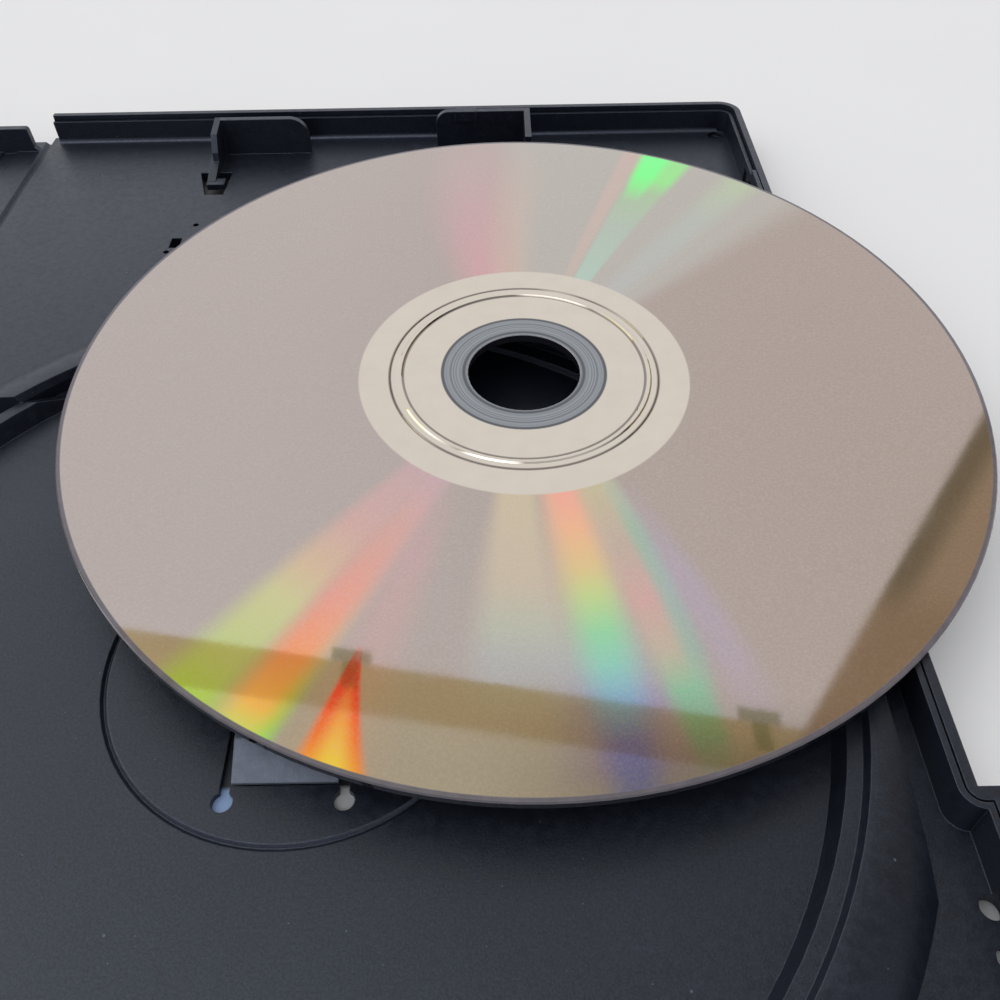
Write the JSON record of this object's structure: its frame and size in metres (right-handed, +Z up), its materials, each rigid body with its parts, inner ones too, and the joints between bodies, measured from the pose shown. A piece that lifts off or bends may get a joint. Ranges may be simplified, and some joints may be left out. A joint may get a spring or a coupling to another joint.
{
  "type": "game disc case",
  "caption": "Open folding case for a game disc, with a stepped disc well, push hub, memory card clips and clear outer sleeve, and a disc leaning loose in its tray.",
  "frame": {"origin": "on the table under the middle of the spine", "axes": "+X across the open case from the spine to the tray half, +Y along the spine towards the end with the card bay, +Z up"},
  "size_m": [0.3004, 0.19, 0.0115],
  "materials": {
    "case_plastic": "fine moulded grain, dark blue-grey",
    "disc_silver": "clear polycarbonate over a metal layer with rainbow sheen",
    "clear_film": "clear glossy film",
    "printed_paper": "coated paper with plain fields of colour"
  },
  "bodies": {
    "tray": {"tray_shell": "case_plastic", "tray_sleeve": "clear_film", "tray_insert": "printed_paper", "game_disc": "disc_silver"},
    "hub": {"hub_button": "case_plastic"},
    "spine": {"spine_panel": "case_plastic", "spine_sleeve": "clear_film", "spine_insert": "printed_paper"},
    "cover": {"cover_shell": "case_plastic", "cover_sleeve": "clear_film", "cover_insert": "printed_paper"}
  },
  "joints": [
    {"name": "hub_press", "type": "slide", "parent": "tray", "child": "hub", "axis": [0, 0, -1], "range_m": [0, 0.0007], "stiffness_N_per_m": 5000},
    {"name": "spine_hinge", "type": "hinge", "parent": "tray", "child": "spine", "pos_m": [0.0065, 0, 0.00065], "axis": [0, 1, 0], "range_deg": [0, 90]},
    {"name": "cover_hinge", "type": "hinge", "parent": "spine", "child": "cover", "pos_m": [-0.0065, 0, 0.00065], "axis": [0, 1, 0], "range_deg": [0, 88]}
  ]
}
